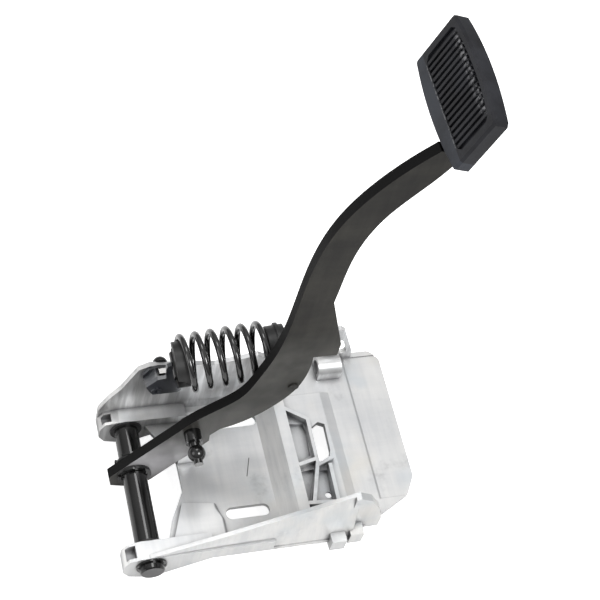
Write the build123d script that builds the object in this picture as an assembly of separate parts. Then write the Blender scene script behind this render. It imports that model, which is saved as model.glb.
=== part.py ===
from build123d import *
import os
from math import atan2, cos, degrees, hypot, radians, sin

os.makedirs("parts", exist_ok=True)

# The pivot shaft lies along Y, the mounting plate is level and the pedal arm stands up from it.
# Everything is drawn from the middle of the shaft and moved to the mounting face as it is saved.
shaft_radius = 9.5
shaft_near = -124.6
shaft_far = 18.4
running_clearance = 0.05
seat_gap = 0.3

plate_top = 2.0
plate_thickness = 4.0
plate_bottom = plate_top - plate_thickness
plate_left = 14.0
plate_right = 224.0
rib_top = plate_top + 8.0
web_top = plate_top + 1.5
rail_width = 3.0
pocket_floor = plate_bottom + 2.0
pocket_round = 1.0
slot_length = 35.0
slot_width = 10.0
slot_near_centre = (82.5, -85.0)
slot_far_centre = (88.5, -5.0)
mount_x = 90.0
mount_y = -45.0

near_ear_inside = -103.0
near_ear_outside = -118.0
far_wall_inside = 12.0
far_wall_thickness = 4.0
far_wall_outside = far_wall_inside + far_wall_thickness
ear_top = 12.0
bush_radius = 10.9

arm_near = -38.6
arm_thickness = 8.0
arm_far = arm_near + arm_thickness
washer_thickness = 1.6
clip_thickness = 1.6

spring_plane = -4.0
coil_radius = 20.6
wire_radius = 2.4
coil_turns = 6.2
closed_turns = 0.75
pin_radius = 4.0
pivot_x = 28.5
pivot_z = 100.0
arm_pin_x = 109.3
arm_pin_z = 111.3
base_depth = 9.0
head_depth = 3.6
seat_boss = 17.6
seat_flange_radius = 19.2
seat_flange = 2.4
link_slack = 1.6

pad_length = 88.0
pad_height = 54.0
pad_bow = 4.0
pad_thickness = 10.5
pad_tilt = 18.03
pad_middle = (159.65, -14.0, 410.3)

to_mount = Location((-mount_x, -mount_y, -plate_bottom))


def save(shape, name):
    export_step(to_mount * shape, "parts/" + name + ".step")
    print(name, "volume", round(shape.volume), "mm3, solids", len(shape.solids()))


def upright(line, y_low, y_high):
    return Pos(0, y_low, 0) * extrude(make_face(Plane.XZ * line), y_high - y_low, dir=(0, 1, 0))


def level(line, z_low, z_high):
    return Pos(0, 0, z_low) * extrude(make_face(line), z_high - z_low, dir=(0, 0, 1))


def closed(*points):
    return Polyline(*points, close=True)


def block(x_low, x_high, y_low, y_high, z_low, z_high):
    middle = ((x_low + x_high) / 2, (y_low + y_high) / 2, (z_low + z_high) / 2)
    return Pos(*middle) * Box(x_high - x_low, y_high - y_low, z_high - z_low)


def round_y(x, z, radius, y_low, y_high):
    return Pos(x, (y_low + y_high) / 2, z) * Rot(90, 0, 0) * Cylinder(radius, y_high - y_low)


def round_z(x, y, radius, z_low, z_high):
    return Pos(x, y, (z_low + z_high) / 2) * Cylinder(radius, z_high - z_low)


def round_x(y, z, radius, x_low, x_high):
    return Pos((x_low + x_high) / 2, y, z) * Rot(0, 90, 0) * Cylinder(radius, x_high - x_low)


def ring_y(x, z, inner, outer, y_low, y_high):
    return round_y(x, z, outer, y_low, y_high) - round_y(x, z, inner, y_low - 1, y_high + 1)


# The cast bracket: floor plate, ribbed middle, two ears and two walls.
outline = closed(
    (plate_left, near_ear_inside - 6),
    (23, -82),
    (34.8, -60),
    (34.6, -35),
    (21.6, -11),
    (plate_left, 2),
    (plate_left, far_wall_outside),
    (118, far_wall_outside),
    (150, 48),
    (plate_right - 8, 48),
    (plate_right, 40),
    (plate_right, -72),
    (215, -88),
    (183, -105),
    (168, -112),
    (168, near_ear_outside),
    (plate_left, near_ear_outside),
)
plate_face = make_face(outline)
plate_corners = [corner for corner in plate_face.vertices() if corner.X > plate_right - 10]
plate_face = fillet(plate_corners, 6.0)
bracket = Pos(0, 0, plate_bottom) * extrude(plate_face, plate_thickness, dir=(0, 0, 1))

ribbed = closed(
    (106, plate_top - 1),
    (106, plate_top),
    (121, rib_top),
    (130, rib_top),
    (132, web_top),
    (164, web_top),
    (172, plate_top),
    (172, plate_top - 1),
)
bracket += upright(ribbed, near_ear_inside - 6, far_wall_inside)
pockets = [
    [(131.6, -13.6), (143.1, -15.1), (144.7, -22.7), (142.9, -44.6), (131.7, -49.5), (130.3, -41.1)],
    [(131.4, -57.6), (143.4, -56.5), (132.8, -85.4), (130.1, -87.6)],
    [(147.2, -57.9), (153.7, -58.7), (152.5, -87.2), (136.9, -86.8)],
]
rails = [
    ((128, -1), (146.3, -14)),
    ((146.3, -14), (145.6, -56)),
    ((130, -54), (145.2, -50.5)),
    ((145.2, -55), (134.8, -88)),
    ((155.4, -56), (154.4, -92)),
    ((145.6, -56), (159, -50.5)),
    ((130, -88), (156, -90)),
]


def rail(start, end):
    length = hypot(end[0] - start[0], end[1] - start[1])
    turned = degrees(atan2(end[1] - start[1], end[0] - start[0]))
    middle = ((start[0] + end[0]) / 2, (start[1] + end[1]) / 2)
    height = rib_top - plate_top + 1
    bar = Box(length, rail_width, height)
    bar += Pos(length / 2, 0, 0) * Cylinder(rail_width / 2, height)
    return Pos(*middle, rib_top - height / 2) * Rot(0, 0, turned) * bar


for corners in pockets:
    pocket = fillet(make_face(closed(*corners)).vertices(), pocket_round)
    bracket -= Pos(0, 0, pocket_floor) * extrude(pocket, rib_top, dir=(0, 0, 1))
for start, end in rails:
    bracket += rail(start, end)
window = [
    (148.9, -19.5),
    (156, -14.8),
    (161.3, -17.4),
    (160.5, -41.4),
    (158, -48.4),
    (149.1, -53.6),
    (147.1, -47.9),
]
window_face = fillet(make_face(closed(*window)).vertices(), pocket_round)
bracket -= Pos(0, 0, plate_bottom - 1) * extrude(window_face, rib_top + 4, dir=(0, 0, 1))
bracket -= round_z(150.5, -79, 2.6, plate_bottom - 1, rib_top + 1)

raised = closed(
    (31.4, -72.8),
    (57, -76.4),
    (58.9, -82.7),
    (60.2, -88.1),
    (61.5, -97.7),
    (61.5, near_ear_inside - 2),
    (19, near_ear_inside - 2),
)
bracket += level(raised, plate_top - 1, plate_top + 4.0)
for centre in (slot_near_centre, slot_far_centre):
    slot = Pos(*centre, 0) * SlotOverall(slot_length, slot_width)
    bracket -= Pos(0, 0, plate_bottom - 1) * extrude(slot, plate_thickness + 8)

near_shelf = closed(
    (-6, near_ear_outside),
    (-6, near_ear_inside),
    (16, near_ear_inside),
    (52, -107.5),
    (96, -115),
    (96, near_ear_outside),
)
bracket += level(near_shelf, plate_bottom, ear_top)


def wall_section(x, outer_foot, outer_top, top, inner_top, inner_foot):
    foot = ((inner_foot, plate_bottom), (outer_foot, plate_bottom))
    return Plane.YZ.offset(x) * make_face(closed(*foot, (outer_top, top), (inner_top, top)))


ridge_run = ((-2, 12.5, -118), (60, 25.5, -113.6), (112, 38, -109.8), (160, 50, -106.2))
sections = []
for x, top, outer in ridge_run:
    sections.append(wall_section(x, near_ear_outside, outer, top, outer + 3.2, outer + 6.0))
bracket += loft(sections, ruled=True)
wall_end = closed(
    (156, plate_bottom),
    (156, 49),
    (160, 50),
    (170, 44),
    (179, 28),
    (184, 12),
    (184, plate_bottom),
)
bracket += upright(wall_end, -109.5, -103.5)
bracket += block(166, 184, -106, -96, plate_bottom, 16)
bracket += block(141, 153, -124, -112, plate_bottom - 3, plate_top + 7)
bracket += block(157, 168, -120, -108, plate_bottom - 3, plate_top + 7)

ear_line = closed(
    (-6, ear_top),
    (-17, 10),
    (-21, 2),
    (-21, -8),
    (-16, -16),
    (-4, -20),
    (12, -18),
    (30, -10),
    (48, plate_bottom),
    (48, ear_top),
)
bracket += upright(ear_line, near_ear_outside, near_ear_inside)
bracket += upright(ear_line, 0, far_wall_inside)
bracket -= block(-19, -11.5, near_ear_outside + 2.5, near_ear_inside - 2.5, 3, 14)
bracket -= block(-19, -11.5, 2.5, far_wall_inside - 2.5, 3, 14)

wall_line = [
    (-21, -8),
    (-21, 14),
    (-14, 30),
    (-5, 44),
    (1, 59),
    (6, 70),
    (14, 74.5),
    (40, 71),
    (66, 66.5),
    (100, 74.5),
    (112, 66),
    (128, 20),
    (134, plate_top),
    (134, plate_bottom),
    (48, plate_bottom),
    (12, -18),
    (-4, -20),
    (-16, -16),
]
bracket += upright(closed(*wall_line), far_wall_inside, far_wall_outside)
foot = closed(
    (far_wall_inside - 8, plate_top - 1),
    (far_wall_inside + 1, plate_top - 1),
    (far_wall_inside + 1, 14),
    (far_wall_inside, 14),
    (far_wall_inside - 2, 7),
    (far_wall_inside - 5, 3.4),
)
bracket += Pos(44, 0, 0) * extrude(Plane.YZ * make_face(foot), 62, dir=(1, 0, 0))

crease = closed(
    (190.5, plate_top),
    (192.5, plate_top - 1),
    (plate_right + 1, plate_top - 1),
    (plate_right + 1, plate_top + 1),
    (190.5, plate_top + 1),
)
bracket -= upright(crease, -89, 43.5)

boss_bore = 6.0
boss_radius = 9.2
boss_left = 165.0
boss_right = 185.0
boss_y = 33.5
boss_z = 8.9
boss = block(boss_left, boss_right, boss_y - boss_radius, boss_y + boss_radius, plate_bottom, boss_z)
bracket += boss + round_x(boss_y, boss_z, boss_radius, boss_left, boss_right)
bracket -= round_x(boss_y, boss_z, boss_bore, boss_left - 5, boss_right + 5)

tab_near = 44.0
tab_far = 48.0
tab_lean = 20.9
tab_line = closed(
    (172, plate_bottom),
    (199.5, plate_bottom),
    (198.5, 12),
    (190.5, 33),
    (186.5, 44),
    (182, 48),
    (177, 46),
    (174, 38),
)
bracket += upright(tab_line, tab_near, tab_far)
tab_slot = Plane.XZ * (Pos(186.5, 20) * Rot(0, 0, 90 + tab_lean) * SlotOverall(22, 8.4))
bracket -= Pos(0, tab_far + 1, 0) * extrude(tab_slot, tab_far - tab_near + 2, dir=(0, -1, 0))

stop_pad = closed((34.9, 0), (34.9, 8.1), (43.4, 18.4), (47, 8), (50, 0))
bracket += upright(stop_pad, arm_near + 1.2, arm_far - 1.2)

ear_bore = bush_radius
bracket -= round_y(0, 0, ear_bore, near_ear_outside - 1, near_ear_inside + 1)
bracket -= round_y(0, 0, ear_bore, -1, far_wall_outside + 1)

bolt_places = ((23, 69.6), (31, 58.9))
bolt_hole = 2.6
bolt_head = 6.0
for x, z in bolt_places:
    bracket -= round_y(x, z, bolt_hole, far_wall_inside - 1, far_wall_outside + 1)
save(bracket, "bracket")

# The pivot shaft with its flanged bushes, clips, thrust washers and push nuts.
shaft = round_y(0, 0, shaft_radius, shaft_near, shaft_far)
shaft = chamfer(shaft.edges().filter_by(GeomType.CIRCLE), 1.0)
clip_near = arm_near - seat_gap - washer_thickness - clip_thickness
clip_far = arm_far + seat_gap + washer_thickness
groove_depth = 0.8
for low in (clip_near, clip_far):
    shaft -= ring_y(0, 0, shaft_radius - groove_depth, shaft_radius + 1, low, low + clip_thickness)
save(shaft, "pivot_shaft")

ear_flange = 1.5
for name, low, high, flange_low in (
    ("near_ear_bush", near_ear_outside, near_ear_inside, near_ear_inside),
    ("far_ear_bush", 0.0, far_wall_outside, -ear_flange),
):
    sleeve = ring_y(0, 0, shaft_radius, bush_radius, low, high)
    sleeve += ring_y(0, 0, shaft_radius, bush_radius + 1.6, flange_low, flange_low + ear_flange)
    save(sleeve, name)


def snap_clip(low):
    """An open retaining ring with three inner lands and a gap."""
    ring = ring_y(0, 0, shaft_radius + 0.9, 13.4, low, low + clip_thickness)
    for angle in (90, 210, 330):
        land = ring_y(0, 0, shaft_radius - groove_depth, shaft_radius + 1.5, low, low + clip_thickness)
        ring += land & (Rot(0, angle, 0) * block(6, 13, -100, 100, -3.2, 3.2))
    return ring - Rot(0, 30, 0) * block(-16, -6, low - 1, low + clip_thickness + 1, -4.5, 4.5)


save(snap_clip(clip_near) + snap_clip(clip_far), "shaft_clips")
near_washer = ring_y(0, 0, shaft_radius, 12.8, arm_near - seat_gap - washer_thickness, arm_near - seat_gap)
far_washer = ring_y(0, 0, shaft_radius, 12.8, arm_far + seat_gap, arm_far + seat_gap + washer_thickness)
save(near_washer + far_washer, "thrust_washers")

nut_teeth = 6
nut_thickness = 1.4
nut_radius = 11.8


def push_nut(inner_face, direction):
    """A domed star washer pressed over the shaft's end, with teeth that bite on it."""
    outer_face = inner_face + direction * nut_thickness
    low = min(inner_face, outer_face)
    disc = ring_y(0, 0, shaft_radius + 0.1, nut_radius, low, low + nut_thickness)
    for tooth in range(nut_teeth):
        cut = block(shaft_radius - 1, nut_radius - 1, low - 1, low + nut_thickness + 1, -1.0, 1.0)
        disc -= Rot(0, tooth * 360 / nut_teeth, 0) * cut
    return disc


save(push_nut(near_ear_outside, -1) + push_nut(far_wall_outside, 1), "push_nuts")

# The pedal arm, a thick plate bent in its own plane, with the bush that turns on the shaft.
upper_edge = Spline(
    (30, 60),
    (44.5, 77),
    (58, 88.5),
    (70.5, 101),
    (80, 125),
    (87.5, 155),
    (92.3, 208),
    (95.5, 276),
    (104.5, 315),
    (120, 345.5),
    (151, 382),
)
lower_edge = Spline((118, 222), (118.6, 240), (121, 280), (133.5, 320), (155.5, 353), (165.5, 370))
lower_bend = Spline((61.4, 55.8), (77, 63), (97, 81), (112, 104), (117.5, 128), (117.4, 150))
lean = radians(pad_tilt)
arm_reach = 22.0
arm_end_top = (
    pad_middle[0] + pad_thickness * cos(lean) + arm_reach * sin(lean),
    pad_middle[2] - pad_thickness * sin(lean) + arm_reach * cos(lean),
)
arm_line = [
    upper_edge,
    Line((151, 382), (158, 390)),
    Line((158, 390), arm_end_top),
    Line(arm_end_top, (180.5, 408)),
    Line((180.5, 408), (165.5, 370)),
    lower_edge,
    Line((118, 222), (135.4, 165)),
    Line((135.4, 165), (135.4, 150)),
    Line((135.4, 150), (117.4, 150)),
    lower_bend,
    Line((61.4, 55.8), (54.6, 47.5)),
    Line((54.6, 47.5), (55.2, 38.8)),
    Line((55.2, 38.8), (14.7, -16.2)),
    Line((14.7, -16.2), (6, -20.6)),
    Line((6, -20.6), (-6.5, -21.6)),
    Line((-6.5, -21.6), (-17, -17.6)),
    Line((-17, -17.6), (-19.4, -4.8)),
    Line((-19.4, -4.8), (30, 60)),
]
arm = upright(Wire(arm_line), arm_near, arm_far)
arm -= round_y(0, 0, bush_radius, arm_near - 1, arm_far + 1)

face_plane = Plane(origin=pad_middle, x_dir=(0, -1, 0), z_dir=(-cos(lean), 0, sin(lean)))
behind = Pos(0, 0, -pad_thickness / 2 - 0.2) * Box(pad_length + 20, pad_height + 1.0, pad_thickness + 0.4)
front = Pos(0, 14, 8) * Box(pad_length + 20, 80, 16)
arm -= face_plane * (Pos(0, 0, 0.2) * behind)
arm -= face_plane * front

stud_x = 39.5
stud_z = 56.0
stud_hole = 4.0
arm -= round_y(stud_x, stud_z, stud_hole, arm_near - 1, arm_far + 1)
arm -= round_y(arm_pin_x, arm_pin_z, pin_radius, arm_near - 1, arm_far + 1)
save(arm, "pedal_arm")

arm_bush = ring_y(0, 0, shaft_radius + running_clearance, bush_radius, arm_near, arm_far)
save(arm_bush, "arm_bush")


def bowed(length, height, bow, cut):
    """A rectangle with long sides bowed outwards and its corners cut."""
    half = length / 2
    top = height / 2 - bow
    return Wire(
        [
            ThreePointArc((-half + cut, top), (0, height / 2), (half - cut, top)),
            Line((half - cut, top), (half, top - cut)),
            Line((half, top - cut), (half, -top + cut)),
            Line((half, -top + cut), (half - cut, -top)),
            ThreePointArc((half - cut, -top), (0, -height / 2), (-half + cut, -top)),
            Line((-half + cut, -top), (-half, -top + cut)),
            Line((-half, -top + cut), (-half, top - cut)),
            Line((-half, top - cut), (-half + cut, top)),
        ]
    )


plate_steel = 3.0
skirt = 3.2
rib_count = 16
recess_depth = 2.2
recess_length = pad_length - 13
recess_height = pad_height - 16
recess_bow = 2.8
recess_shift = 3.4
outer = make_face(bowed(pad_length, pad_height, pad_bow, 2.0))
pad = Pos(0, 0, -pad_thickness) * extrude(outer, pad_thickness, dir=(0, 0, 1))
pad = chamfer(pad.faces().sort_by(Axis.Z)[-1].edges(), 1.6)
recess = make_face(bowed(recess_length, recess_height, recess_bow, 3.0))
pad -= Pos(0, recess_shift, -recess_depth) * extrude(recess, recess_depth + 1, dir=(0, 0, 1))
rib_pitch = recess_length / (rib_count + 1)
rib_height = recess_height - 2 * recess_bow + 1
ribs = []
for index in range(rib_count):
    across = -recess_length / 2 + rib_pitch * (index + 1)
    rib = Box(rib_pitch * 0.5, rib_height, recess_depth)
    ribs.append(Pos(across, recess_shift, -recess_depth / 2 - 0.3) * rib)
pad += ribs
steel_line = bowed(pad_length - 2 * skirt, pad_height - 2 * skirt, pad_bow - 0.2, 3.0)
shoe = Pos(0, 0, -pad_thickness) * extrude(make_face(steel_line), plate_steel, dir=(0, 0, 1))
pad -= shoe
save(face_plane * pad, "pedal_pad")
save(face_plane * shoe, "pad_plate")

# The ball stud for the master cylinder's rod, riveted through the arm.
washer_radius = 8.0
barrel_radius = 6.6
ball_radius = 6.8
stud_tip = -66.5
stud = round_y(stud_x, stud_z, stud_hole, arm_near, arm_far + 2)
stud += round_y(stud_x, stud_z, barrel_radius, arm_near - 9.5, arm_near)
stud += round_y(stud_x, stud_z, 4.4, arm_near - 16, arm_near)
stud += Pos(stud_x, arm_near - 18.6, stud_z) * Sphere(ball_radius)
stud += round_y(stud_x, stud_z, 3.4, stud_tip, arm_near - 18)
save(stud, "rod_stud")
rivet_head = ring_y(stud_x, stud_z, stud_hole, washer_radius, arm_far, arm_far + 2)
save(rivet_head, "stud_washer")

# The spring's pivot bracket, bolted inside the far wall.
cheek_thickness = 3.2
cheek_low = spring_plane - cheek_thickness / 2
cheek_high = spring_plane + cheek_thickness / 2
bracket_base = 2.6
cheek_line = closed(
    (8, 73),
    (11, 66.5),
    (14.3, 61.4),
    (33, 61.4),
    (36, 64),
    (33.5, 79),
    (29.2, 80),
    (26.4, 92),
    (26.2, 98.3),
    (24.5, 102.4),
    (21.4, 100.6),
    (20.8, 96),
    (22.8, 84),
    (16, 83),
)
cheek = upright(cheek_line, cheek_low, cheek_high)
base_line = closed(
    (9, 66),
    (10, 58),
    (20, 50),
    (38, 50),
    (40, 57),
    (37, 69),
    (33, 73),
    (20, 75.4),
    (13, 73),
)
base_plate = upright(base_line, far_wall_inside - bracket_base, far_wall_inside)
web_front_line = closed((8, 73), (16, 83), (18, 81.4), (10, 71.4))
web_front = Plane.XZ.offset(-cheek_high + 0.6) * make_face(web_front_line)
web_back_line = closed((9.5, 60), (17.5, 74.5), (19, 73), (11, 58.5))
web_back = Plane.XZ.offset(-far_wall_inside + 1.5) * make_face(web_back_line)
side_web = loft([web_front, web_back], ruled=True)
under_web = block(14, 24, cheek_high - 0.6, far_wall_inside - 1.5, 61.4, 63.8)
spring_bracket = cheek + base_plate + side_web + under_web
ring_x = 16.4
ring_z = 67.2
spring_bracket += round_y(ring_x, ring_z, 4.0, cheek_low - 1.0, cheek_low)
spring_bracket -= round_y(ring_x, ring_z, 2.0, cheek_low - 2.0, cheek_high + 1.0)
pivot_pin_low = spring_plane - 11
pivot_pin_high = spring_plane + 11
spring_bracket -= round_y(pivot_x, pivot_z, pin_radius, -50, 50)
for x, z in bolt_places:
    spring_bracket -= round_y(x, z, bolt_hole, far_wall_inside - bracket_base - 1, far_wall_inside + 1)
save(spring_bracket, "spring_bracket")
pivot_pin = round_y(pivot_x, pivot_z, pin_radius, pivot_pin_low, pivot_pin_high)
pivot_pin = chamfer(pivot_pin.edges().filter_by(GeomType.CIRCLE), 0.6)
save(pivot_pin, "pivot_pin")

bolts = []
nuts = []
for x, z in bolt_places:
    head = Pos(x, far_wall_outside, z) * Rot(-90, 0, 0) * (Sphere(bolt_head) & Pos(0, 0, 4) * Box(20, 20, 8))
    shank = round_y(x, z, bolt_hole, far_wall_inside - bracket_base - 7.5, far_wall_outside + 1)
    bolts.append(head + shank)
    hexagon = Plane.XZ * (Pos(x, z) * RegularPolygon(5.7, 6))
    nut = Pos(0, far_wall_inside - bracket_base, 0) * extrude(hexagon, 4.6, dir=(0, -1, 0))
    nuts.append(nut - round_y(x, z, bolt_hole, -50, 50))
save(bolts[0] + bolts[1], "bracket_bolts")
save(nuts[0] + nuts[1], "bracket_nuts")

# The assist spring and its two seats, drawn along X from the pivot pin and then turned to the arm's pin.
link_length = hypot(arm_pin_x - pivot_x, arm_pin_z - pivot_z)
link_angle = degrees(atan2(arm_pin_z - pivot_z, arm_pin_x - pivot_x))
to_link = Location((pivot_x, spring_plane, pivot_z), (0, -link_angle, 0))
spring_start = base_depth
spring_end = link_length - head_depth - 1.0

flange_bite = 0.4
left_seat = round_x(0, 0, seat_boss, -1.5, spring_start + 8.5)
left_flange = spring_start + flange_bite
left_seat += round_x(0, 0, seat_flange_radius, left_flange - seat_flange, left_flange)
left_seat = chamfer(left_seat.edges().filter_by(GeomType.CIRCLE).group_by(Axis.X)[-1], 1.2)
left_seat -= round_x(0, 0, 11.5, spring_start + 1.5, spring_start + 10)
left_seat -= round_y(0, 0, pin_radius + running_clearance, -30, 30)
left_seat -= block(-10, -0.6, -30, 30, -pin_radius - running_clearance, pin_radius + running_clearance)
save(to_link * left_seat, "spring_seat_base")

right_face = link_length + 1.5
right_seat = round_x(0, 0, seat_boss, spring_end - 8.5, right_face)
right_flange = spring_end - flange_bite
right_seat += round_x(0, 0, seat_flange_radius, right_flange, right_flange + seat_flange)
right_seat = chamfer(right_seat.edges().filter_by(GeomType.CIRCLE).group_by(Axis.X)[0], 1.2)
right_seat -= round_x(0, 0, 11.5, spring_end - 10, spring_end - 1.5)
saddle_shift = (-0.55, -1.0)
saddle = pin_radius + link_slack
saddle_x = link_length + saddle_shift[0]
saddle_z = saddle_shift[1]
right_seat -= round_y(saddle_x, saddle_z, saddle, -30, 30)
right_seat -= block(saddle_x, saddle_x + 20, -30, 30, saddle_z - saddle, saddle_z + saddle)
save(to_link * right_seat, "spring_seat_head")

closed_pitch = 2.1 * wire_radius
closed_rise = closed_pitch * closed_turns
middle_rise = spring_end - spring_start - 2 * wire_radius - 2 * closed_rise
coil_pitch = middle_rise / (coil_turns - 2 * closed_turns)
first_turns = Helix(closed_pitch, closed_rise, coil_radius)
middle_turns = Helix(coil_pitch, middle_rise, coil_radius)
middle_turns = Pos(0, 0, closed_rise) * Rot(0, 0, 360 * closed_turns) * middle_turns
last_turns = Helix(closed_pitch, closed_rise, coil_radius)
last_turns = Pos(0, 0, closed_rise + middle_rise) * Rot(0, 0, 360 * (coil_turns - closed_turns)) * last_turns
coil = []
for part_turns in (first_turns, middle_turns, last_turns):
    start = Plane(origin=part_turns @ 0, z_dir=part_turns % 0)
    coil.append(sweep(start * Circle(wire_radius), path=part_turns, is_frenet=True))
spring = coil[0] + coil[1] + coil[2]
spring = Pos(spring_start + wire_radius, 0, 0) * Rot(0, 90, 0) * Rot(0, 0, 90) * spring
save(to_link * spring, "assist_spring")

arm_pin_tip = spring_plane + 12
arm_pin = round_y(arm_pin_x, arm_pin_z, pin_radius, arm_near - 1.5, arm_pin_tip)
arm_pin += round_y(arm_pin_x, arm_pin_z, pin_radius + 1.4, arm_far, arm_far + 3)
arm_pin = chamfer(arm_pin.edges().filter_by(GeomType.CIRCLE).group_by(Axis.Y)[-1], 0.8)
save(arm_pin, "spring_pin")
print("link length", round(link_length, 2), "angle", round(link_angle, 3), "pitch", round(coil_pitch, 2))
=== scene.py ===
from math import cos, pi, radians, sin

import bpy
from mathutils import Matrix, Vector


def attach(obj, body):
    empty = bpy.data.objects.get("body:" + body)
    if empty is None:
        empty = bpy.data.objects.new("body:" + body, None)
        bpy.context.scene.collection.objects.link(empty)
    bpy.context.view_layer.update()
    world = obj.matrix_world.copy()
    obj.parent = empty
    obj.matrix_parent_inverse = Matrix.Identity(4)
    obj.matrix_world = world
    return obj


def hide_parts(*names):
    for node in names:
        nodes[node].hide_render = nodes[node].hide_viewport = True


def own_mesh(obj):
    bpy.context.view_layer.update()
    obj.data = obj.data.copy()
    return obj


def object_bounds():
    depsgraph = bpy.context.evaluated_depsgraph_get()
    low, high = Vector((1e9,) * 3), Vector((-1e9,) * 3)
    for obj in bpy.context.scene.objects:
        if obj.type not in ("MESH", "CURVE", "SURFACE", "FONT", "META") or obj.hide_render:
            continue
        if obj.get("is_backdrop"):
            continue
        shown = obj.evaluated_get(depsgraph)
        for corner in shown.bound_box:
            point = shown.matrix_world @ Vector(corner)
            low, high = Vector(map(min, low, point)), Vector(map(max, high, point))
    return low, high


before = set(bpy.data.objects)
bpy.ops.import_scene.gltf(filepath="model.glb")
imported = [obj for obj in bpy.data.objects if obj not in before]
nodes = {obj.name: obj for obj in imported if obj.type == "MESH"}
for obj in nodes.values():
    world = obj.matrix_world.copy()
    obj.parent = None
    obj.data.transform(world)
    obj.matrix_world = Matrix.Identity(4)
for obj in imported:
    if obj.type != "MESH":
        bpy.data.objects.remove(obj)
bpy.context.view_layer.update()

millimetre = 0.001  # places and reaches are in metres, edge widths and grain depths in millimetres


class Wire:
    # a node's output socket, with Python's operators adding Math nodes
    def __init__(self, shading, socket):
        self.shading = shading
        self.socket = socket

    def math(self, operation, first, second=0.0):
        return self.shading.node("ShaderNodeMath", {"operation": operation}, {0: first, 1: second})

    def __add__(self, other):
        return self.math("ADD", self, other)

    def __radd__(self, other):
        return self.math("ADD", other, self)

    def __sub__(self, other):
        return self.math("SUBTRACT", self, other)

    def __rsub__(self, other):
        return self.math("SUBTRACT", other, self)

    def __mul__(self, other):
        return self.math("MULTIPLY", self, other)

    def __rmul__(self, other):
        return self.math("MULTIPLY", other, self)

    def absolute(self):
        return self.math("ABSOLUTE", self)

    def smooth(self, low, high, bottom=0.0, top=1.0):
        settings = {"interpolation_type": "SMOOTHSTEP"}
        values = {"Value": self, "From Min": low, "From Max": high, "To Min": bottom, "To Max": top}
        return self.shading.node("ShaderNodeMapRange", settings, values)

    def fade(self, low, high):
        # one up to low, nothing from high on
        return self.smooth(low, high, 1.0, 0.0)


class Shading:
    # a node tree, to which nodes are added by one method
    def __init__(self, tree):
        self.tree = tree

    def plug(self, node, values):
        for key, value in values.items():
            socket = node.inputs[key]
            if isinstance(value, Wire):
                self.tree.links.new(value.socket, socket)
            else:
                socket.default_value = value

    def node(self, kind, settings=None, values=None, out=0):
        made = self.tree.nodes.new(kind)
        for key, value in (settings or {}).items():
            setattr(made, key, value)
        self.plug(made, values or {})
        return Wire(self, made.outputs[out])

    def axes(self, output):
        # the X, Y and Z of one of the texture coordinates
        where = self.node("ShaderNodeTexCoord", out=output)
        split = self.node("ShaderNodeSeparateXYZ", values={0: where})
        return [Wire(self, socket) for socket in split.socket.node.outputs]


class Finish(Shading):
    # one material of the part
    def __init__(self, name):
        self.material = bpy.data.materials.new(name)
        self.material.use_nodes = True
        super().__init__(self.material.node_tree)
        self.place = self.node("ShaderNodeTexCoord", out="Object")

    def noise(self, scale, detail, roughness, stretch=None):
        where = self.place
        if stretch:
            where = self.node("ShaderNodeMapping", None, {"Vector": where, "Scale": stretch})
        values = {"Vector": where, "Scale": scale, "Detail": detail, "Roughness": roughness}
        return self.node("ShaderNodeTexNoise", None, values)

    def mix(self, factor, first, second):
        # the colours go in at 6 and 7 and come out at 2
        values = {0: factor, 6: first, 7: second}
        return self.node("ShaderNodeMix", {"data_type": "RGBA"}, values, 2)

    def awayFrom(self, point):
        values = {0: self.place, 1: point}
        return self.node("ShaderNodeVectorMath", {"operation": "DISTANCE"}, values, "Value")

    def corners(self, reach):
        # one in the open, falling to nothing deep in a corner
        return self.node("ShaderNodeAmbientOcclusion", {"samples": 8}, {"Distance": reach}, "AO")

    def bump(self, height, depth, strength):
        values = {"Height": height, "Distance": depth * millimetre, "Strength": strength}
        return self.node("ShaderNodeBump", None, values)

    def principled(self, **values):
        named = {key.replace("_", " "): value for key, value in values.items()}
        self.plug(self.tree.nodes["Principled BSDF"], named)
        return self.material


def grey(level, warm=0.0, blue=0.0):
    return (level * (1 + warm), level, level * (1 + blue), 1.0)


def putOn(material, *names):
    for name in names:
        for slot in nodes[name].material_slots:
            slot.link = "OBJECT"
            slot.material = material


def softEdges(piece, width, segments=2, angle=35.0):
    # rolled edges that catch the light, added as a modifier
    bevel = piece.modifiers.new("rolledEdges", "BEVEL")
    bevel.width = width * millimetre
    bevel.segments = segments
    bevel.limit_method = "ANGLE"
    bevel.angle_limit = radians(angle)
    bevel.harden_normals = False
    bevel.use_clamp_overlap = True


def modelCopy(model, name):
    # the solid's mesh in the shared frame, free to be reshaped
    mesh = nodes[model].data.copy()
    mesh.name = name
    mesh.transform(nodes[model].matrix_world)
    return mesh


def addPiece(name, mesh, material):
    piece = bpy.data.objects.new(name, mesh)
    bpy.context.scene.collection.objects.link(piece)
    mesh.materials.clear()
    mesh.materials.append(material)
    return piece


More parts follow.
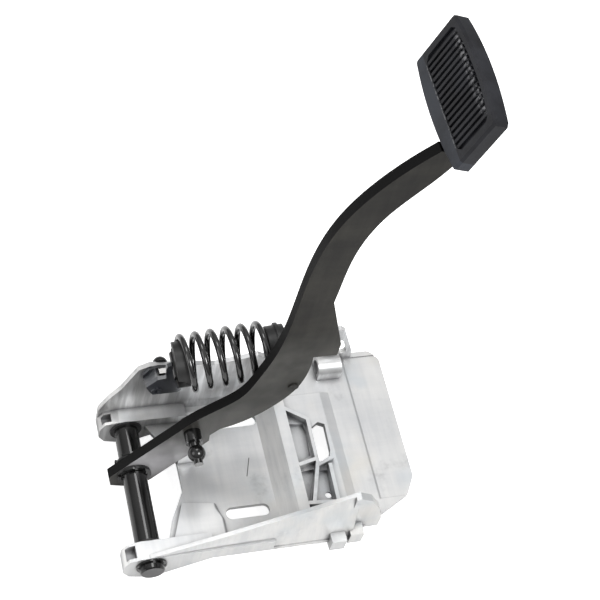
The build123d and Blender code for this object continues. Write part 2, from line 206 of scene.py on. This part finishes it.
# the cast bracket, with painted shade along the step beside its near slot and the floor's scratch
castLook = {
    "shade": (0.56, 0.57, 0.585, 1.0), "pale": (0.80, 0.795, 0.78, 1.0),
    "warm": (0.60, 0.565, 0.50, 1.0), "cool": (0.52, 0.58, 0.63, 1.0), "tint": 0.35,
    # a painted highlight colour, then a dark colour for dirt that also serves as painted shade
    "rampGlint": (0.97, 0.965, 0.95, 1.0), "grimeAndShade": (0.22, 0.22, 0.225, 1.0), "patchDirt": 0.55,
    # painted shade in the hollows, on the far wall and in the corners
    "hollowReach": 0.030, "hollowShade": 0.42,
    "farWallFrom": 0.012, "farWallTo": 0.030, "farWallShade": 0.75,
    "crevice": (0.11, 0.11, 0.115, 1.0), "creviceReach": 0.008, "creviceShade": 0.72,
    "metallic": 0.70, "roughness": 0.30, "grainScale": 900.0, "grainDepth": 0.16, "edges": 0.8,
    "step": {
        "right": -0.0285, "left": -0.0325, "turnFrom": -0.046, "turnTo": -0.0335,
        "near": -0.0600, "far": -0.0300, "low": 0.0020, "high": 0.0110, "strength": 0.8,
    },
    "scratch": {
        "x": 0.0005, "y": -0.002, "lean": 0.31, "halfLength": 0.0078, "above": 0.0030,
        "colour": grey(0.05), "strength": 0.95,
    },
}


# painted shade: a dark band along the curved step beside the near slot
def stepShade(look, x, y, z):
    near, far = look["near"], look["far"]
    low, high = look["low"], look["high"]
    edge = y.smooth(look["turnFrom"], look["turnTo"], look["right"], look["left"])
    band = (x - edge).absolute().fade(0.0006, 0.0021)
    length = y.smooth(near, near + 0.0015) * y.fade(far - 0.0020, far)
    height = z.smooth(low, low + 0.0010) * z.fade(high - 0.0010, high)
    return band * length * height * look["strength"]


def floorScratch(look, x, y, z):
    along = y - look["y"]
    line = (x - look["x"] - along * look["lean"]).absolute().fade(0.00022, 0.0005)
    length = along.absolute().fade(look["halfLength"], look["halfLength"] + 0.0005)
    onFloor = z.smooth(look["above"], look["above"] + 0.0002)
    return line * length * onFloor * look["strength"]


def castAluminium(look):
    finish = Finish("castAluminium")
    x, y, z = finish.axes("Object")
    normalX, _, normalZ = finish.axes("Normal")
    clouds = finish.noise(scale=9.0, detail=3.0, roughness=0.55)
    patches = finish.noise(scale=26.0, detail=5.0, roughness=0.62)
    dragged = finish.noise(scale=60.0, detail=4.0, roughness=0.6, stretch=(0.18, 1.0, 1.0))
    streaks = finish.noise(scale=140.0, detail=3.0, roughness=0.6, stretch=(1.0, 0.10, 1.0))
    runs = finish.noise(scale=120.0, detail=4.0, roughness=0.65, stretch=(1.0, 1.0, 0.08))
    grain = finish.noise(scale=look["grainScale"], detail=3.0, roughness=0.6)
    pits = finish.noise(scale=320.0, detail=2.0, roughness=0.5)
    warmth = finish.noise(scale=17.0, detail=3.0, roughness=0.5).smooth(0.55, 0.75)
    coolness = finish.noise(scale=21.0, detail=3.0, roughness=0.5).smooth(0.52, 0.70)

    # cloudy and dragged on the flats, upright runs on the walls, whose tone is also lifted as
    # painted light
    upright = normalZ.absolute().fade(0.25, 0.75)
    cloudTone = clouds.smooth(0.35, 0.7)
    flatTone = cloudTone * 0.45 + dragged.smooth(0.3, 0.75) * 0.3 + streaks.smooth(0.3, 0.7) * 0.25
    wallRunsAndLight = cloudTone * 0.40 + runs.smooth(0.36, 0.66) * 0.35 + 0.25
    colour = finish.mix(flatTone + upright * (wallRunsAndLight - flatTone), look["shade"], look["pale"])
    colour = finish.mix(warmth * look["tint"], colour, look["warm"])
    colour = finish.mix(coolness * look["tint"], colour, look["cool"])

    # dirt in patches; painted shade in the hollows, on the far wall and in the corners; a painted
    # highlight on the ramp beside the ribs
    colour = finish.mix(patches.smooth(0.56, 0.78) * look["patchDirt"], colour, look["grimeAndShade"])
    # painted shade in the hollows, from ambient occlusion
    shadedHollows = finish.corners(look["hollowReach"]).smooth(0.30, 0.95, look["hollowShade"], 0.0)
    colour = finish.mix(shadedHollows, colour, look["grimeAndShade"])
    # painted highlight on the ramp beside the ribs, broken into streaks
    glintOnRamp = (0.0 - normalX).smooth(0.30, 0.60) * normalZ.smooth(0.20, 0.50)
    colour = finish.mix(glintOnRamp * streaks.smooth(0.30, 0.65, 0.35, 0.95), colour, look["rampGlint"])
    # painted shade on the far wall, broken into upright runs
    shadedFarWall = upright * y.smooth(look["farWallFrom"], look["farWallTo"]) * runs.smooth(0.30, 0.62)
    colour = finish.mix(shadedFarWall * look["farWallShade"], colour, look["grimeAndShade"])
    # painted shade deep in the corners
    shadedCrevices = finish.corners(look["creviceReach"]).smooth(0.35, 0.90, look["creviceShade"], 0.0)
    colour = finish.mix(shadedCrevices, colour, look["crevice"])
    # painted shade along the step beside the near slot
    colour = finish.mix(stepShade(look["step"], x, y, z), colour, look["crevice"])
    scratch = look["scratch"]
    colour = finish.mix(floorScratch(scratch, x, y, z), colour, scratch["colour"])

    height = grain * 0.5 + pits * 0.3 + dragged * 0.4
    return finish.principled(
        Base_Color=colour, Metallic=look["metallic"],
        Roughness=look["roughness"] + clouds * 0.16 - dragged * 0.10 + patches * 0.12,
        Normal=finish.bump(height, look["grainDepth"], 0.45),
    )


putOn(castAluminium(castLook), "bracket")
softEdges(nodes["bracket"], castLook["edges"])
print("cast bracket done")


# the pedal's arm and the plate behind the pad
armLook = {
    # painted shade on the cut edges; a painted sheen at the bend and low on the arm
    "black": grey(0.010, 0.08, -0.10), "faded": grey(0.036, 0.06, -0.16), "cutEdgeShade": grey(0.0035),
    "sheen": (0.135, 0.134, 0.126, 1.0), "sheenAt": (0.006, 0.010, 0.112), "sheenReach": 0.085,
    "pale": (0.70, 0.69, 0.71, 1.0), "paleAt": (-0.0742, 0.0064, 0.0202), "paleReach": 0.036,
    "lowEndFrom": 0.030, "lowEndTo": 0.095, "lowEndSheen": 0.62,
    "roughness": 0.52, "faceGloss": 0.28, "faceMetallic": 0.18, "specular": 0.15,
    "peelDepth": 0.08, "edges": 0.9, "edgeSegments": 3,
}


def armPaint(look):
    # satin on the flat faces, a painted sheen at the bend and low down, a pale patch near the low
    # end, and painted shade making the cut edges near black
    finish = Finish("armPaint")
    height = finish.axes("Object")[2]
    face = finish.axes("Normal")[1].absolute().smooth(0.35, 0.85)
    clouds = finish.noise(scale=14.0, detail=4.0, roughness=0.6)
    drawn = finish.noise(scale=110.0, detail=4.0, roughness=0.62, stretch=(1.0, 1.0, 0.10))
    crossed = finish.noise(scale=34.0, detail=4.0, roughness=0.6, stretch=(0.35, 1.0, 1.6))
    peel = finish.noise(scale=1400.0, detail=2.0, roughness=0.5)
    tone = clouds * 0.45 + drawn * 0.25 + crossed * 0.30
    colour = finish.mix(tone.smooth(0.34, 0.68), look["black"], look["faded"])
    # painted sheen at the bend
    bendSheen = finish.awayFrom(look["sheenAt"]).fade(look["sheenReach"] * 0.25, look["sheenReach"])
    colour = finish.mix(bendSheen * (0.35 + clouds.smooth(0.35, 0.65) * 0.45), colour, look["sheen"])
    # painted sheen low down on the arm
    lowSheen = height.smooth(look["lowEndFrom"], look["lowEndTo"], look["lowEndSheen"], 0.0)
    colour = finish.mix(lowSheen * drawn.smooth(0.30, 0.62, 0.6, 1.0), colour, look["sheen"])
    pale = finish.awayFrom(look["paleAt"]).fade(look["paleReach"] * 0.3, look["paleReach"])
    colour = finish.mix(pale * clouds.smooth(0.30, 0.60, 0.45, 0.9), colour, look["pale"])
    # painted shade: the cut edges, facing away from the flat faces, made near black
    colour = finish.mix(face, look["cutEdgeShade"], colour)
    return finish.principled(
        Base_Color=colour, Metallic=face * look["faceMetallic"],
        Roughness=look["roughness"] - face * look["faceGloss"] + clouds * 0.16 + crossed * 0.12,
        Specular_IOR_Level=look["specular"],
        Normal=finish.bump(peel * 0.4 + drawn * 0.6, look["peelDepth"], 0.5),
    )


putOn(armPaint(armLook), "pedal_arm", "pad_plate")
softEdges(nodes["pedal_arm"], armLook["edges"], armLook["edgeSegments"])
print("arm done")


# the spring's bracket, in thick bluish black paint worn pale in spots on its flat faces, with the
# side that faces -X painted paler as painted light
bracketLook = {
    "black": (0.006, 0.007, 0.009, 1.0), "bluish": (0.030, 0.033, 0.040, 1.0), "bare": grey(0.24),
    # painted light makes the side facing -X paler
    "leftSideLight": (0.130, 0.135, 0.145, 1.0), "bareness": 0.6,
    "metallic": 0.2, "roughness": 0.20, "coat": 0.6, "coatRoughness": 0.14,
    "wearDepth": 0.06, "edges": 0.5,
}


def bracketPaint(look):
    finish = Finish("bracketPaint")
    normalX, _, normalZ = finish.axes("Normal")
    clouds = finish.noise(scale=40.0, detail=4.0, roughness=0.6)
    worn = finish.noise(scale=150.0, detail=4.0, roughness=0.65)
    colour = finish.mix(clouds.smooth(0.35, 0.65), look["black"], look["bluish"])
    bare = worn.smooth(0.60, 0.72) * normalZ.absolute().smooth(0.4, 0.9)
    colour = finish.mix(bare * look["bareness"], colour, look["bare"])
    # painted light: the side facing -X made paler
    leftSideLight = (0.0 - normalX).smooth(0.30, 0.80) * clouds.smooth(0.30, 0.60, 0.3, 0.9)
    colour = finish.mix(leftSideLight, colour, look["leftSideLight"])
    return finish.principled(
        Base_Color=colour, Metallic=look["metallic"], Roughness=look["roughness"] + clouds * 0.18,
        Coat_Weight=look["coat"], Coat_Roughness=look["coatRoughness"],
        Normal=finish.bump(worn, look["wearDepth"], 0.35),
    )


putOn(bracketPaint(bracketLook), "spring_bracket")
softEdges(nodes["spring_bracket"], bracketLook["edges"])
print("spring bracket done")


# shaft, pins, stud, bushes and nuts
steelLook = {
    "shaftSteel": {"low": 0.003, "high": 0.008, "roughness": 0.12, "gloss": 0.50},
    "springSteel": {"low": 0.002, "high": 0.006, "roughness": 0.07, "gloss": 0.80},
    "metallic": 0.3, "coatRoughness": 0.06, "skinDepth": 0.03, "edges": 0.25,
}

nylonLook = {"low": grey(0.008), "high": grey(0.020), "roughness": 0.38, "skinDepth": 0.06}

zincLook = {
    "low": grey(0.45), "high": grey(0.62, 0.02, -0.02), "roughness": 0.28, "metallic": 0.9,
    "paint": grey(0.022, 0.06, -0.12), "paintMetallic": 0.1,
    "paintedNearer": 0.0080, "paintedAbove": 0.040,
}


def oiledSteel(name):
    look = steelLook[name]
    finish = Finish(name)
    clouds = finish.noise(scale=45.0, detail=3.0, roughness=0.5)
    skin = finish.noise(scale=1800.0, detail=2.0, roughness=0.5)
    colour = finish.mix(clouds.smooth(0.3, 0.7), grey(look["low"]), grey(look["high"]))
    return finish.principled(
        Base_Color=colour, Metallic=steelLook["metallic"],
        Roughness=look["roughness"] + clouds * 0.10 + skin * 0.04, Specular_IOR_Level=look["gloss"],
        Coat_Weight=look["gloss"], Coat_Roughness=steelLook["coatRoughness"],
        Normal=finish.bump(skin, steelLook["skinDepth"], 0.3),
    )


def mouldedNylon(look):
    finish = Finish("mouldedNylon")
    clouds = finish.noise(scale=60.0, detail=3.0, roughness=0.5)
    skin = finish.noise(scale=1200.0, detail=2.0, roughness=0.5)
    return finish.principled(
        Base_Color=finish.mix(clouds, look["low"], look["high"]),
        Roughness=look["roughness"] + clouds * 0.12,
        Normal=finish.bump(skin, look["skinDepth"], 0.3),
    )


def zincPlate(look):
    # the spring pin's riveted end is painted over together with the arm's near face
    finish = Finish("zincPlate")
    _, y, z = finish.axes("Object")
    clouds = finish.noise(scale=80.0, detail=3.0, roughness=0.5)
    nearer = y.fade(look["paintedNearer"], look["paintedNearer"] + 0.0006)
    painted = nearer * z.smooth(look["paintedAbove"], look["paintedAbove"] + 0.010)
    colour = finish.mix(painted, finish.mix(clouds, look["low"], look["high"]), look["paint"])
    bright = look["metallic"] - look["paintMetallic"]
    return finish.principled(
        Base_Color=colour, Metallic=look["metallic"] - painted * bright,
        Roughness=look["roughness"] + clouds * 0.15,
    )


steelPieces = (
    "pivot_shaft", "shaft_clips", "push_nuts", "rod_stud", "stud_washer", "pivot_pin",
    "bracket_bolts",
)
roundedPieces = (
    "rod_stud", "spring_seat_head", "bracket_bolts", "pivot_pin", "push_nuts", "shaft_clips",
)
nylon = mouldedNylon(nylonLook)
putOn(oiledSteel("shaftSteel"), *steelPieces)
putOn(nylon, "near_ear_bush", "far_ear_bush", "thrust_washers", "arm_bush", "spring_seat_head")
putOn(zincPlate(zincLook), "bracket_nuts", "spring_pin")
for name in roundedPieces:
    softEdges(nodes[name], steelLook["edges"])
print("shaft and fastenings done")


# the assist spring, finer than its solid, and its base seat
springLook = {
    "pivot": (-0.0615, 0.041, 0.102), "axis": (0.990362, 0.0, 0.138504),
    "start": 0.0030, "rise": 0.0707, "coilRadius": 0.0206, "wireRadius": 0.0024,
    "turns": 6.07, "firstTurn": -0.12, "stepsPerTurn": 48, "around": 16, "endSize": 0.82,
    "keep": 0.7152,  # how long the coil is at the pressed limit, its rest length being one
    "drumRadius": 0.0177, "drumEnd": 0.0078,
}


def coilPoints(look):
    steps = round(look["turns"] * look["stepsPerTurn"])
    points = []
    for index in range(steps + 1):
        part = index / steps
        angle = 2 * pi * (look["firstTurn"] + look["turns"] * part)
        across = look["coilRadius"] * cos(angle), look["coilRadius"] * sin(angle)
        points.append(Vector((look["start"] + look["rise"] * part, *across)))
    return points


def coilMesh(look, placeAt):
    # a closed round wire along the points, its ends drawn in and capped
    points = coilPoints(look)
    around = look["around"]
    last = len(points) - 1
    vertices = []
    for index, point in enumerate(points):
        along = (points[min(index + 1, last)] - points[max(index - 1, 0)]).normalized()
        outward = Vector((0.0, point.y, point.z)).normalized()
        side = along.cross(outward).normalized()
        outward = side.cross(along)
        radius = look["wireRadius"] * (look["endSize"] if index in (0, last) else 1.0)
        for step in range(around):
            turn = 2 * pi * step / around
            vertices.append(placeAt @ (point + radius * (cos(turn) * outward + sin(turn) * side)))
    faces = []
    for ring in range(0, last * around, around):
        for step in range(around):
            after = (step + 1) % around
            faces.append((ring + step, ring + after, ring + around + after, ring + around + step))
    faces.append(tuple(reversed(range(around))))
    faces.append(tuple(range(last * around, (last + 1) * around)))
    mesh = bpy.data.meshes.new("springCoil")
    mesh.from_pydata(vertices, [], faces)
    mesh.update()
    mesh.shade_smooth()
    return mesh


def assistSpring(look):
    alongX = Vector(look["axis"]).normalized()
    acrossY = Vector((0.0, 1.0, 0.0))
    turned = Matrix((alongX, acrossY, alongX.cross(acrossY))).transposed().to_4x4()
    placeAt = Matrix.Translation(look["pivot"]) @ turned
    piece = addPiece("springCoil", coilMesh(look, placeAt), oiledSteel("springSteel"))
    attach(piece, "spring_base")
    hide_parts("assist_spring")
    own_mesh(piece)


def baseSeat(look):
    # its flange is drawn in, and its drum ends where the first open coil passes over it
    mesh = modelCopy("spring_seat_base", "baseSeat")
    middle = Vector(look["pivot"])
    alongX = Vector(look["axis"]).normalized()
    for vertex in mesh.vertices:
        reach = vertex.co - middle
        outward = reach - alongX * reach.dot(alongX)
        radius = min(outward.length, look["drumRadius"])
        along = min(reach.dot(alongX), look["drumEnd"])
        vertex.co = middle + alongX * along + outward.normalized() * radius
    piece = addPiece("baseSeat", mesh, nylon)
    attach(piece, "spring_base")
    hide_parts("spring_seat_base")


assistSpring(springLook)
baseSeat(springLook)
print("spring done")


# the rubber pad, its walls and painted highlights measured up its face from its middle
padLook = {
    "middle": (0.06965, 0.031, 0.4123), "up": (0.309536, 0.0, 0.950888),
    "lowWall": -0.0190, "newLowWall": -0.0135, "highWall": 0.0190, "wallSlack": 0.0004,
    "low": (0.009, 0.009, 0.011, 1.0), "high": (0.024, 0.025, 0.030, 1.0),
    "facet": (0.040, 0.044, 0.054, 1.0), "worn": (0.26, 0.26, 0.27, 1.0),
    # the pale colour and these reaches are for painted highlights on the rib ends and along the
    # facet's edge
    "highlightLength": 0.0065, "highlightHalfWidth": 0.036, "ribEndHighlight": 0.8, "lowLineHighlight": 0.6,
    "roughness": 0.40, "specular": 0.24, "skinDepth": 0.10, "edges": 0.5,
}


def padRubber(look):
    # bluish on the broad facet below the ribs; painted highlights, broken up like scuffs, where the
    # ribs run into the frame and along the facet's edge
    finish = Finish("padRubber")
    x, y, z = finish.axes("Object")
    clouds = finish.noise(scale=35.0, detail=4.0, roughness=0.6)
    skin = finish.noise(scale=1500.0, detail=3.0, roughness=0.6)
    scuffs = finish.noise(scale=420.0, detail=3.0, roughness=0.6)
    middleX, middleY, middleZ = look["middle"]
    upX, _, upZ = look["up"]
    lowWall, highWall = look["newLowWall"], look["highWall"]
    rise = (x - middleX) * upX + (z - middleZ) * upZ
    colour = finish.mix(clouds.smooth(0.3, 0.7), look["low"], look["high"])
    facet = rise.fade(lowWall - 0.0010, lowWall - 0.0004)
    colour = finish.mix(facet * clouds.smooth(0.25, 0.6, 0.4, 1.0), colour, look["facet"])
    # painted highlights on the rib ends by the frame and along the facet's edge
    ribEnds = rise.smooth(highWall - look["highlightLength"], highWall - 0.0002)
    ribEnds = ribEnds * rise.fade(highWall + 0.0002, highWall + 0.0008)
    lowLine = (rise - (lowWall - 0.0006)).absolute().fade(0.0002, 0.0007)
    width = (y - middleY).absolute().fade(look["highlightHalfWidth"] - 0.006, look["highlightHalfWidth"])
    highlights = (ribEnds * look["ribEndHighlight"] + lowLine * look["lowLineHighlight"]) * width
    colour = finish.mix(highlights * scuffs.smooth(0.42, 0.62), colour, look["worn"])
    return finish.principled(
        Base_Color=colour, Roughness=look["roughness"] + clouds * 0.16,
        Specular_IOR_Level=look["specular"], Normal=finish.bump(skin, look["skinDepth"], 0.35),
    )


def footPad(look):
    # the low wall of the ribbed field is moved up, which leaves the broad facet below the ribs
    mesh = modelCopy("pedal_pad", "footPad")
    middle = Vector(look["middle"])
    upward = Vector(look["up"])
    shift = look["newLowWall"] - look["lowWall"]
    for vertex in mesh.vertices:
        rise = (vertex.co - middle).dot(upward)
        if look["lowWall"] - look["wallSlack"] < rise < look["newLowWall"]:
            vertex.co += upward * shift * min((look["newLowWall"] - rise) / shift, 1.0)
    piece = addPiece("footPad", mesh, padRubber(look))
    softEdges(piece, look["edges"])
    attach(piece, "pedal")
    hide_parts("pedal_pad")


footPad(padLook)
print("pad done")


# floor, lights, world and camera
floorLook = {
    "size": 8.0, "drop": 0.0006, "colour": grey(0.86), "roughness": 0.9,
    "lift": grey(0.80),  # for the camera alone: the floor shows white and keeps its shadows
}

lightLook = {
    "keyLight": {
        "place": (1.2, -1.9, 3.4), "aim": (0.0, 0.0, 0.15), "size": (1.4, 1.4), "power": 84.0,
    },
    "topLight": {
        "place": (-0.1, 1.5, 3.5), "aim": (0.0, 0.0, 0.10), "size": (1.1, 1.1), "power": 20.0,
    },
    "leftFill": {
        "place": (-2.4, -0.5, 1.6), "aim": (0.0, 0.0, 0.10), "size": (1.6, 1.6), "power": 16.0,
    },
}

worldLook = {
    "colour": grey(1.0), "level": 0.34, "levelUpTo": 0.15, "overhead": 0.76, "overheadFrom": 0.9,
}

cameraLook = {
    "place": (-0.290, -0.534, 1.0874), "forward": (0.277076, 0.512983, -0.812451),
    "right": (0.956852, -0.224351, 0.184667), "focal": 1550.0, "framePixels": 600.0,
    "sensor": 36.0, "clipStart": 0.01, "clipEnd": 50.0,
}


def addFloor(look):
    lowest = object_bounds()[0][2]
    bpy.ops.mesh.primitive_plane_add(size=look["size"], location=(0, 0, lowest - look["drop"]))
    floor = bpy.context.object
    floor.name = "floor"
    finish = Finish("paleFloor")
    seen = finish.node("ShaderNodeLightPath", out="Is Camera Ray")
    material = finish.principled(
        Base_Color=look["colour"], Roughness=look["roughness"],
        Emission_Color=finish.mix(seen, grey(0.0), look["lift"]), Emission_Strength=1.0,
    )
    floor.data.materials.append(material)
    floor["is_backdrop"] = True


def addLight(name, look):
    data = bpy.data.lights.new(name, "AREA")
    data.shape = "RECTANGLE"
    data.size, data.size_y = look["size"]
    data.energy = look["power"]
    lamp = bpy.data.objects.new(name, data)
    lamp.location = look["place"]
    towards = Vector(look["aim"]) - Vector(look["place"])
    lamp.rotation_euler = towards.to_track_quat("-Z", "Y").to_euler()
    bpy.context.scene.collection.objects.link(lamp)


def addWorld(look):
    # brighter overhead than near the horizon, like a room with a large ceiling light
    world = bpy.data.worlds.new("studioWorld")
    bpy.context.scene.world = world
    world.use_nodes = True
    sky = Shading(world.node_tree)
    height = sky.axes("Generated")[2]
    limits = look["levelUpTo"], look["overheadFrom"]
    strength = height.smooth(*limits, look["level"], look["overhead"])
    sky.plug(sky.tree.nodes["Background"], {"Color": look["colour"], "Strength": strength})


def addCamera(look):
    data = bpy.data.cameras.new("photoView")
    data.sensor_width = look["sensor"]
    data.lens = look["focal"] / look["framePixels"] * look["sensor"]
    data.clip_start = look["clipStart"]
    data.clip_end = look["clipEnd"]
    camera = bpy.data.objects.new("photoView", data)
    forward = Vector(look["forward"]).normalized()
    right = Vector(look["right"]).normalized()
    turned = Matrix((right, right.cross(forward), -forward)).transposed()
    camera.matrix_world = Matrix.Translation(look["place"]) @ turned.to_4x4()
    bpy.context.scene.collection.objects.link(camera)
    bpy.context.scene.camera = camera


addFloor(floorLook)
for name, look in lightLook.items():
    addLight(name, look)
addWorld(worldLook)
addCamera(cameraLook)
bpy.context.scene.view_settings.view_transform = "Standard"
print("studio done")
